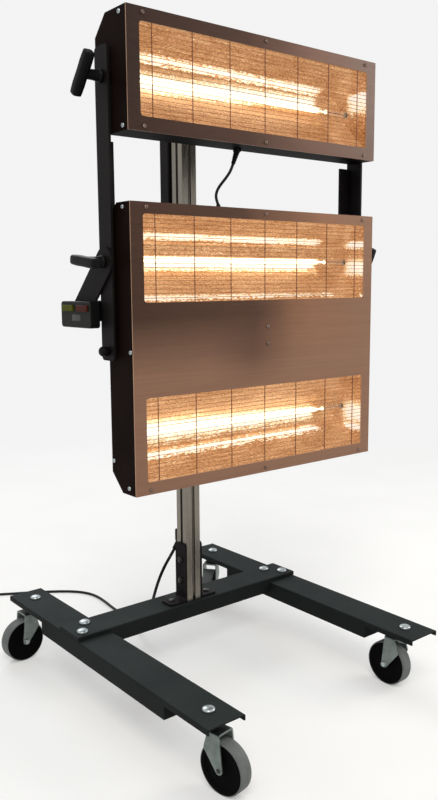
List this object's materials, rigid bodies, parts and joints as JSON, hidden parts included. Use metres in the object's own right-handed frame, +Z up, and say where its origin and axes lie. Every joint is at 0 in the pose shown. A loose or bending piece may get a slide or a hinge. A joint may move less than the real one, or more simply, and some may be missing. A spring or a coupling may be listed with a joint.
{
  "type": "mobile infrared heater tower",
  "caption": "Mobile infrared heater tower: tilting lamp cassettes on a slotted mast with a sliding carriage, on an H-shaped base with swivel casters.",
  "frame": {"origin": "floor level, under the middle of the object's footprint box, cord left out", "axes": "+Z up along the mast; the lamps face -Y; +X to the right seen along +Y"},
  "size_m": [0.8309, 1.3736, 1.403],
  "materials": {
    "base_paint": "satin powder coat",
    "head_paint": "satin powder coat",
    "front_sheet": "brushed, brown tint",
    "mast_alloy": "anodised",
    "zinc": "bright zinc",
    "guard_wire": "bright wire",
    "gold": "gold coated, hammered",
    "quartz": "clear",
    "ceramic": "glazed ceramic",
    "black_plastic": "fine grain",
    "caster_disc": "smooth",
    "caster_tread": "smooth",
    "cord": "matt",
    "green_button": "gloss",
    "red_button": "gloss"
  },
  "bodies": {
    "base": {"left_leg": "base_paint", "right_leg": "base_paint", "cross_member": "base_paint", "base_bolts": "zinc", "base_nuts": "zinc", "caster_races": "zinc", "mast": "mast_alloy", "mast_cap": "black_plastic", "foot_brackets": "base_paint", "cord_outlet": "black_plastic", "mains_cord": "cord", "cord_coil": "cord", "mains_plug": "cord"},
    "front_left_swivel": {"front_left_fork": "zinc"},
    "front_left_wheel": {"front_left_wheel": "caster_disc", "front_left_tyre": "caster_tread"},
    "back_left_swivel": {"back_left_fork": "zinc"},
    "back_left_wheel": {"back_left_wheel": "caster_disc", "back_left_tyre": "caster_tread"},
    "front_right_swivel": {"front_right_fork": "zinc"},
    "front_right_wheel": {"front_right_wheel": "caster_disc", "front_right_tyre": "caster_tread"},
    "back_right_swivel": {"back_right_fork": "zinc"},
    "back_right_wheel": {"back_right_wheel": "caster_disc", "back_right_tyre": "caster_tread"},
    "carriage": {"carriage_spine": "head_paint", "carriage_bracket": "head_paint", "glide_pads": "black_plastic", "carriage_bolts": "zinc", "yoke": "head_paint", "control_box": "black_plastic"},
    "clamp_knob": {"clamp_knob": "black_plastic"},
    "start_button": {"start_button": "green_button"},
    "stop_button": {"stop_button": "red_button"},
    "head": {"left_arm": "head_paint", "right_arm": "head_paint", "arm_bolts": "zinc", "lower_gland": "black_plastic", "lower_housing": "head_paint", "lower_end_caps": "head_paint", "lower_front": "front_sheet", "lower_grilles": "guard_wire", "lower_reflectors": "gold", "lower_lamps": "quartz", "lower_holders": "ceramic", "lower_screws": "zinc"},
    "upper_heater": {"upper_pivot": "zinc", "upper_gland": "black_plastic", "upper_housing": "head_paint", "upper_end_caps": "head_paint", "upper_front": "front_sheet", "upper_grille": "guard_wire", "upper_reflector": "gold", "upper_lamp": "quartz", "upper_holders": "ceramic", "upper_screws": "zinc", "lamp_lead": "cord"},
    "left_tilt_handle": {"left_tilt_handle": "black_plastic"},
    "right_tilt_handle": {"right_tilt_handle": "black_plastic"},
    "upper_tilt_handle": {"upper_tilt_handle": "black_plastic"}
  },
  "joints": [
    {"name": "mast_slide", "type": "slide", "parent": "base", "child": "carriage", "axis": [0, 0, 1], "range_m": [-0.32, 0.1]},
    {"name": "head_tilt", "type": "hinge", "parent": "carriage", "child": "head", "pos_m": [0, -0.10719, 0.953], "axis": [1, 0, 0], "range_deg": [-15, 15]},
    {"name": "upper_tilt", "type": "hinge", "parent": "head", "child": "upper_heater", "pos_m": [0, -0.10719, 1.28], "axis": [1, 0, 0], "range_deg": [-25, 25], "deforming": ["lamp_lead"]},
    {"name": "clamp_knob_turn", "type": "hinge", "parent": "carriage", "child": "clamp_knob", "pos_m": [0.0303, 0.10482, 0.86], "axis": [1, 0, 0], "range_deg": [0, 270]},
    {"name": "left_handle_turn", "type": "hinge", "parent": "head", "child": "left_tilt_handle", "pos_m": [-0.3433, -0.10719, 0.953], "axis": [1, 0, 0], "range_deg": [0, 270]},
    {"name": "right_handle_turn", "type": "hinge", "parent": "head", "child": "right_tilt_handle", "pos_m": [0.3433, -0.10719, 0.953], "axis": [1, 0, 0], "range_deg": [0, 270]},
    {"name": "upper_handle_turn", "type": "hinge", "parent": "upper_heater", "child": "upper_tilt_handle", "pos_m": [-0.338, -0.10719, 1.28], "axis": [1, 0, 0], "range_deg": [0, 270]},
    {"name": "start_button_press", "type": "slide", "parent": "carriage", "child": "start_button", "axis": [1, 0, 0], "range_m": [0, 0.003], "stiffness_N_per_m": 500, "springref_m": -0.001},
    {"name": "stop_button_press", "type": "slide", "parent": "carriage", "child": "stop_button", "axis": [1, 0, 0], "range_m": [0, 0.003], "stiffness_N_per_m": 500, "springref_m": -0.001},
    {"name": "front_left_swivel", "type": "hinge", "parent": "base", "child": "front_left_swivel", "pos_m": [-0.28, -0.32819, 0.1237], "axis": [0, 0, 1], "continuous": true},
    {"name": "front_left_roll", "type": "hinge", "parent": "front_left_swivel", "child": "front_left_wheel", "pos_m": [-0.27305, -0.36758, 0.05], "axis": [-0.9848, -0.1736, 0], "continuous": true},
    {"name": "back_left_swivel", "type": "hinge", "parent": "base", "child": "back_left_swivel", "pos_m": [-0.28, 0.36582, 0.1237], "axis": [0, 0, 1], "continuous": true},
    {"name": "back_left_roll", "type": "hinge", "parent": "back_left_swivel", "child": "back_left_wheel", "pos_m": [-0.3199, 0.36302, 0.05], "axis": [-0.0698, 0.9976, 0], "continuous": true},
    {"name": "front_right_swivel", "type": "hinge", "parent": "base", "child": "front_right_swivel", "pos_m": [0.28, -0.32819, 0.1237], "axis": [0, 0, 1], "continuous": true},
    {"name": "front_right_roll", "type": "hinge", "parent": "front_right_swivel", "child": "front_right_wheel", "pos_m": [0.2786, -0.28821, 0.05], "axis": [0.9994, 0.0349, 0], "continuous": true},
    {"name": "back_right_swivel", "type": "hinge", "parent": "base", "child": "back_right_swivel", "pos_m": [0.28, 0.36582, 0.1237], "axis": [0, 0, 1], "continuous": true},
    {"name": "back_right_roll", "type": "hinge", "parent": "back_right_swivel", "child": "back_right_wheel", "pos_m": [0.24848, 0.34119, 0.05], "axis": [-0.6157, 0.788, 0], "continuous": true}
  ]
}
